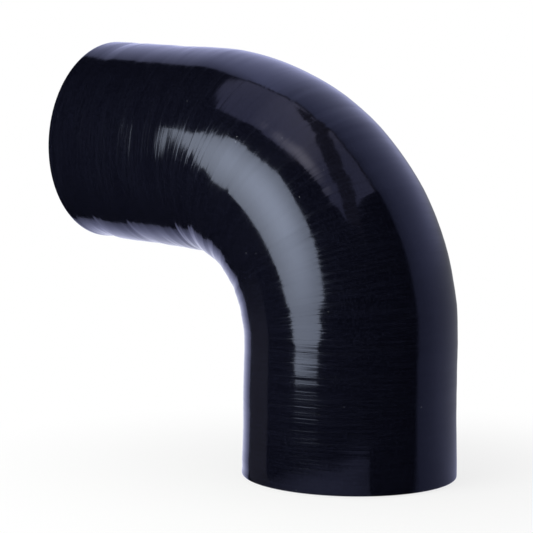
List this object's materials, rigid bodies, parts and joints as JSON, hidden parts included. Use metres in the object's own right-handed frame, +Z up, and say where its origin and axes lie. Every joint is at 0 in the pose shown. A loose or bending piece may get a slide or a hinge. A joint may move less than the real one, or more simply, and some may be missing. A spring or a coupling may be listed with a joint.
{
  "type": "silicone elbow hose",
  "caption": "Glossy black moulded silicone elbow hose that turns an air or coolant duct through a corner, with a straight clamp-on socket at each end.",
  "frame": {"origin": "on the ground, under the middle of the hose's bounding box; the lower end stands on z = 0", "axes": "+Z up along the lower socket, the side socket runs towards -X and rises 5 degrees, and the hose is the same on both sides of y = 0"},
  "size_m": [0.1424, 0.072, 0.1486],
  "materials": {
    "cured_silicone": "gloss black with fine wrap rings round the outside"
  },
  "bodies": {
    "root": {"elbow_hose": "cured_silicone"}
  },
  "joints": []
}
